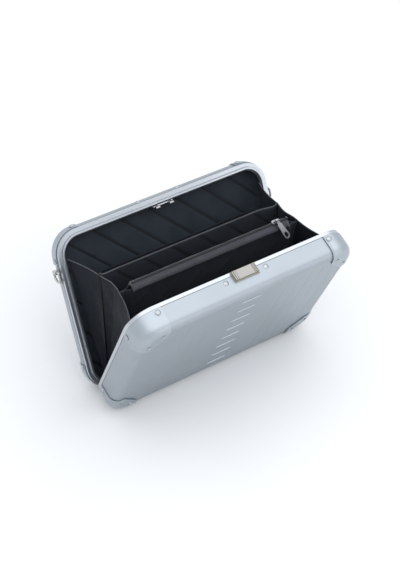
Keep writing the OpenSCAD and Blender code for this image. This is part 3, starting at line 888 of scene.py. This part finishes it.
def add_divider():
    """A stiff padded leaf, stitched through in slanted channels, with a piped top edge."""
    place = fan(DIVIDER_ANGLE)
    mid = sum(DIVIDER_Y) / 2
    rows, columns = 90, 150
    points, creases = [], []
    for face in (-1, 1):
        for r in range(rows):
            for c in range(columns):
                s, t = r / (rows - 1), c / (columns - 1)
                ear = EAR * smoothstep((s - 0.93) / 0.05)
                x = (-1 + 2 * t) * (HALF + ear)
                z = FAN_START + (divider_top(x) - FAN_START) * s
                edge = min(t, 1 - t) * 2 * HALF
                channel = gauss(off_channel(x + z), 1.1)
                # painted shade: the stitched channels get a darker cloth colour through the crease attribute;
                # the same value also flattens the padding below
                creases.append(channel)
                swell = 0.55 * (1 - channel) * smoothstep(edge / 3)
                half = 0.35 + swell * smoothstep((1 - s) * 30)
                bow = rumple((x, z, 3), 60, 1.6) * math.sin(math.pi * s)
                points.append(place(x, mid + face * half + bow, z))
    count = rows * columns
    faces = grid_faces(rows, columns)
    faces += [tuple(count + i for i in reversed(face)) for face in grid_faces(rows, columns)]
    rim = [c for c in range(columns)] + [r * columns + columns - 1 for r in range(1, rows)]
    rim += [(rows - 1) * columns + c for c in range(columns - 2, -1, -1)]
    rim += [r * columns for r in range(rows - 2, 0, -1)]
    faces += [(rim[i - 1], rim[i], count + rim[i], count + rim[i - 1]) for i in range(len(rim))]
    leaf = make("divider_leaf", points, faces, PANEL)
    shade(leaf, creases)
    face_outward(leaf)
    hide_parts("divider_panel")
    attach(leaf, "divider")
    end = HALF + 2
    path = [(-end + 2 * end * k / 100, mid, divider_top(-end + 2 * end * k / 100) + 0.3) for k in range(101)]
    piping = tube("divider_top_piping", path, 0.7, PIPING, 12, place)
    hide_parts("divider_piping")
    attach(piping, "divider")


add_divider()

# ---- zipped pocket ----

POCKET_TOP, POCKET_MID = 136, -3.4
WALL_HALF = 2.7
ROOF = [(-5.2, -1.4), (-4.6, 0.4), (-1.2, 3.2), (1.2, 3.2), (4.6, 0.4), (5.2, -1.4)]
ZIP_HALF = 86
TAPE_HALF = 89


def pocket_droop(x):
    """How far the pocket's ends hang below the zip's level."""
    return (1.5 if x < 0 else 5) * smoothstep((abs(x) - 84) / 16)


def add_pocket_wall(name, node, facing):
    """One side of the pocket: it swells a little between its seams and creases under the zip."""
    place = fan(POCKET_ANGLE)

    def point(s, t):
        x = (-1 + 2 * t) * (HALF + 2 * smoothstep((s - 0.9) / 0.1))
        z = FAN_START + (POCKET_TOP - 0.6 - FAN_START - pocket_droop(x)) * s
        pinch = 1 - 0.75 * smoothstep((abs(x) - TAPE_HALF) / 8)
        swell = 1.3 * math.sin(math.pi * s) * math.sin(math.pi * t) ** 0.5
        crease = 0.45 * gauss(off_channel(z - x + 8), 1.6) * smoothstep(s * 6)
        uneven = (
            rumple((x, facing * 40, z), 24, 1.3)
            * math.sin(math.pi * min(s * 1.02, 1))
            * smoothstep(min(t, 1 - t) * 12)
        )
        return place(x, POCKET_MID + facing * (WALL_HALF * pinch + swell - crease + uneven), z)

    wall = surface(name, 90, 150, point, PANEL)
    thicken(wall, 0.6)
    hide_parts(node)
    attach(wall, "pocket")


def add_pocket_binding():
    place = fan(POCKET_ANGLE)
    turns = [math.tau * k / 20 for k in range(20)]
    outline = [(POCKET_MID + 3.2 * math.cos(a), FAN_START + 1.1 * math.sin(a)) for a in turns]
    binding = prism("pocket_foot_binding", outline, -HALF, HALF, lambda y, z, x: place(x, y, z), PIPING)
    bevel(binding, 0.2, 2, 60)
    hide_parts("pocket_bottom_binding")
    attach(binding, "pocket")


def add_zip_tape():
    """The two tapes lie as a low roof over the pocket, folded down over both ends."""
    place = fan(POCKET_ANGLE)

    def point(s, t):
        x = -TAPE_HALF + 2 * TAPE_HALF * s
        at = t * (len(ROOF) - 1)
        k = min(int(at), len(ROOF) - 2)
        y = ROOF[k][0] + (ROOF[k + 1][0] - ROOF[k][0]) * (at - k)
        z = POCKET_TOP + ROOF[k][1] + (ROOF[k + 1][1] - ROOF[k][1]) * (at - k)
        fold = smoothstep((abs(x) - TAPE_HALF + 2.2) / 2.2)
        z -= 2.2 * fold * fold
        return place(x, POCKET_MID + y * (1 - 0.12 * fold), z - pocket_droop(x) + rumple((x, y, 2), 15, 0.35))

    tape = surface("zip_tapes", 190, 26, point, TAPE)
    thicken(tape, 0.7)
    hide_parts("zip_tape")
    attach(tape, "pocket")


def add_zip_coil():
    """The closed coil: one flattened helix along the middle of the tapes."""
    turns, per_turn = 132, 10
    path = []
    for k in range(turns * per_turn + 1):
        turn = math.tau * k / per_turn
        x = -ZIP_HALF + 2 * ZIP_HALF * k / (turns * per_turn)
        z = POCKET_TOP + 4.35 - pocket_droop(x) + 0.5 * math.sin(turn)
        path.append((x, POCKET_MID + 1.15 * math.cos(turn), z))
    coil = tube("zip_coil_teeth", path, 0.33, COIL, 6, fan(POCKET_ANGLE))
    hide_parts("zip_coil")
    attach(coil, "pocket")


def add_zip_stitches():
    """Two rows of small stitches that hold each tape to its pocket wall."""
    place = fan(POCKET_ANGLE)
    stitches = []
    pitch, length = 3.2, 2.1
    for side in (-1, 1):
        for row in (0.0, 1.0):
            y, z = side * (4.35 - 1.1 * row), POCKET_TOP + 1.05 + 0.85 * row
            for k in range(int(2 * TAPE_HALF / pitch) - 1):
                x = -TAPE_HALF + pitch * (k + 0.9)
                path = [
                    (
                        x + length * j / 4, POCKET_MID + y,
                        z - pocket_droop(x) + 0.1 * math.sin(math.pi * j / 4),
                    )
                    for j in range(5)
                ]
                stitches.append(tube(f"stitch_{len(stitches)}", path, 0.17, THREAD, 5, place))
    seam = join("zip_stitches", stitches)
    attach(seam, "pocket")


add_pocket_wall("pocket_back_cloth", "pocket_back_wall", 1)
add_pocket_wall("pocket_front_cloth", "pocket_front_wall", -1)
add_pocket_binding()
add_zip_tape()
add_zip_coil()
add_zip_stitches()

# ---- zip slider and pull ----

SLIDER_X = 74
SLIDER_TOP = POCKET_TOP + 6.6
BAIL_Y, BAIL_Z, BAIL_R = POCKET_MID - 1.2, POCKET_TOP + 8.5, 0.7
PULL_ANGLE = math.radians(39)
PULL_SKEW = math.radians(20)
PULL_LENGTH = 22


def slider_outline():
    """Plan of the slider's top plate: wide shoulders, rounded nose and tail."""
    steps = 40
    outline = []
    for k in range(steps):
        turn = math.tau * k / steps
        x = 4.5 * math.copysign(abs(math.cos(turn)) ** 0.6, math.cos(turn))
        wide = 2.45 - 0.35 * smoothstep((x + 1) / 4)
        outline.append((x, wide * math.copysign(abs(math.sin(turn)) ** 0.6, math.sin(turn))))
    return outline


def add_slider():
    place = fan(POCKET_ANGLE)
    plate = prism(
        "slider_plate", slider_outline(), SLIDER_TOP - 1.0, SLIDER_TOP,
        lambda x, y, z: place(SLIDER_X + x, POCKET_MID + y, z), ZIP_METAL,
    )
    pieces = [bevel(plate, 0.3, 3)]
    for side in (-1, 1):
        wing = prism(
            f"slider_wing_{side + 1}", [(-4.1, 1.75), (-3.6, 2.4), (3.6, 2.3), (4.1, 1.7)],
            SLIDER_TOP - 1.8, SLIDER_TOP - 0.8,
            lambda x, y, z: place(SLIDER_X + x, POCKET_MID + side * y, z), ZIP_METAL,
        )
        pieces.append(bevel(wing, 0.15, 2))
    path = [(SLIDER_X - 3, BAIL_Y, SLIDER_TOP - 0.3)]
    for k in range(13):
        turn = math.radians(180 - 15 * k)
        path.append((
            SLIDER_X + 3 * math.copysign(abs(math.cos(turn)) ** 0.45, math.cos(turn)), BAIL_Y,
            SLIDER_TOP + 0.3 + (BAIL_Z - SLIDER_TOP - 0.3) * abs(math.sin(turn)) ** 0.45,
        ))
    path.append((SLIDER_X + 3, BAIL_Y, SLIDER_TOP - 0.3))
    pieces.append(tube("slider_bridge", path, BAIL_R, ZIP_METAL, 12, place))
    for piece in pieces:
        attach(piece, "zip_slider")
    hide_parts("zip_slider")


def pull_outline(steps):
    """The pull's outline from its neck down to its round end, as (across, along)."""
    outline = []
    for k in range(steps + 1):
        along = -2 - (PULL_LENGTH - 2 - 3.2) * k / steps
        outline.append((pull_half_width(along), along))
    for k in range(1, 2 * steps):
        turn = math.pi * k / (2 * steps)
        outline.append((3.2 * math.cos(turn), -PULL_LENGTH + 3.2 - 3.2 * math.sin(turn)))
    outline += [(-x, along) for x, along in reversed(outline[: steps + 1])]
    return outline


def pull_half_width(along):
    neck, shoulder = 1.5, 2.55
    wide = shoulder + 0.65 * smoothstep((-along - 6) / 12)
    return neck + (wide - neck) * smoothstep((-along - 3) / 2.5)


def add_pull():
    """A flat cast pull: narrow neck, long tapering blade, round end with a hole."""
    place = fan(POCKET_ANGLE)

    def hang(x, y, z):
        forward = y * math.cos(PULL_ANGLE) + z * math.sin(PULL_ANGLE)
        upward = z * math.cos(PULL_ANGLE) - y * math.sin(PULL_ANGLE)
        return place(SLIDER_X + x, BAIL_Y + forward, BAIL_Z + upward)

    def hang_skewed(x, y, z):
        across = x * math.cos(PULL_SKEW) - z * math.sin(PULL_SKEW)
        along = x * math.sin(PULL_SKEW) + z * math.cos(PULL_SKEW)
        return hang(across, y, along)

    outline = pull_outline(14)
    hole_at, hole_x, hole_z = -PULL_LENGTH + 4.7, 1.7, 2.9
    inner = []
    for x, z in outline:
        turn = math.atan2(z - hole_at, x)
        inner.append((hole_x * math.cos(turn), hole_at + hole_z * math.sin(turn)))
    rings = [outline, inner]
    count = len(outline)
    points = [hang_skewed(x, y, z) for y in (-0.55, 0.55) for ring in rings for x, z in ring]
    faces = []
    for i in range(count):
        j = (i + 1) % count
        faces += [
            (i, j, count + j, count + i),
            (2 * count + j, 2 * count + i, 3 * count + i, 3 * count + j),
            (j, i, 2 * count + i, 2 * count + j),
            (count + i, count + j, 3 * count + j, 3 * count + i),
        ]
    blade = make("pull_blade", points, faces, ZIP_METAL)
    face_outward(blade)
    bevel(blade, 0.28, 3, 40)
    eye = tube(
        "pull_eye", [(x, 0, 0) for x in (-1.75, -1.5, 1.5, 1.75)],
        lambda s: 1.42 if 0.1 < s < 0.9 else 1.2, ZIP_METAL, 24, hang,
    )
    neck = prism(
        "pull_neck", [(-1.5, -0.8), (1.5, -0.8), (1.5, -3.2), (-1.5, -3.2)], -0.55, 0.55,
        lambda x, z, y: hang_skewed(x, y, z), ZIP_METAL,
    )
    bevel(neck, 0.2, 2)
    for piece in (blade, eye, neck):
        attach(piece, "zip_pull")
    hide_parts("zip_pull")


add_slider()
add_pull()
